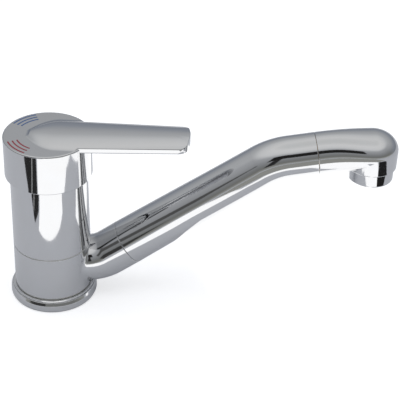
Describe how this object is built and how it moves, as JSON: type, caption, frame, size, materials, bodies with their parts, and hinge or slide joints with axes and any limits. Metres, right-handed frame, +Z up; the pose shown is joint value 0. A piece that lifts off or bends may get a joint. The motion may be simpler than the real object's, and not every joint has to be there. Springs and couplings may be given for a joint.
{
  "type": "caravan mixer tap",
  "caption": "Single lever chrome mixer tap with a slim round swivel body, a rising bent tubular spout and a flat arched lever over a round cap.",
  "frame": {"origin": "where the swivel axis meets the worktop, at the middle of the base ring's underside", "axes": "+Z up along the swivel axis, +X to the front, where the lever points with hot and cold mixed evenly; the spout stands 6 degrees to the left of +X; cold is on the +Y side"},
  "size_m": [0.2304, 0.0612, 0.1154],
  "materials": {
    "chrome_plate": "polished chrome plate on a brass or zinc casting",
    "brass": "turned brass, unplated",
    "black_rubber": "soft black rubber",
    "acetal": "moulded white acetal",
    "ceramic": "lapped white alumina ceramic",
    "stainless_steel": "stainless steel",
    "grey_plastic": "moulded grey plastic",
    "red_enamel": "deep red enamel filling",
    "blue_enamel": "deep blue enamel filling"
  },
  "bodies": {
    "mixer_body": {"base_ring": "chrome_plate", "base_gasket": "black_rubber", "lower_glide_ring": "acetal", "mixer_core": "brass", "collar_o_rings": "black_rubber", "upper_glide_ring": "acetal", "body_shell": "chrome_plate", "shell_o_ring": "black_rubber", "cartridge_port_seals": "black_rubber", "cartridge_base": "acetal", "fixed_ceramic_disc": "ceramic", "cartridge_housing": "acetal", "cartridge_nut": "brass"},
    "lever_turn_body": {"cartridge_turret": "acetal", "turret_o_ring": "black_rubber", "lever_pivot_pin": "stainless_steel"},
    "disc_body": {"disc_carrier": "acetal", "moving_ceramic_disc": "ceramic"},
    "lever_lift_body": {"lever_handle": "chrome_plate", "cartridge_stem": "stainless_steel", "lever_grub_screw": "stainless_steel", "screw_hole_plug": "grey_plastic", "hot_marks": "red_enamel", "cold_marks": "blue_enamel"},
    "spout_body": {"swivel_collar": "chrome_plate", "spout_joint_sleeve": "brass", "spout_joint_o_rings": "black_rubber", "spout_tube": "chrome_plate", "head_joint_sleeve": "brass", "head_joint_o_rings": "black_rubber", "outlet_head": "chrome_plate", "aerator_washer": "black_rubber", "aerator_insert": "acetal", "aerator_mesh": "stainless_steel", "aerator_ring": "chrome_plate"}
  },
  "joints": [
    {"name": "spout_swivel", "type": "hinge", "parent": "mixer_body", "child": "spout_body", "pos_m": [0, 0, 0.0227], "axis": [0, 0, 1], "continuous": true},
    {"name": "lever_turn", "type": "hinge", "parent": "mixer_body", "child": "lever_turn_body", "pos_m": [0, 0, 0.082], "axis": [0, 0, 1], "range_deg": [-50, 50]},
    {"name": "lever_lift", "type": "hinge", "parent": "lever_turn_body", "child": "lever_lift_body", "pos_m": [0, 0, 0.0857], "axis": [0, -1, 0], "range_deg": [0, 18]},
    {"name": "disc_slide", "type": "slide", "parent": "lever_turn_body", "child": "disc_body", "axis": [1, 0, 0], "range_m": [0, 0.0032]}
  ],
  "couplings": [
    {"joint": "disc_slide", "follows": "lever_lift", "m_per_rad": 0.01}
  ]
}
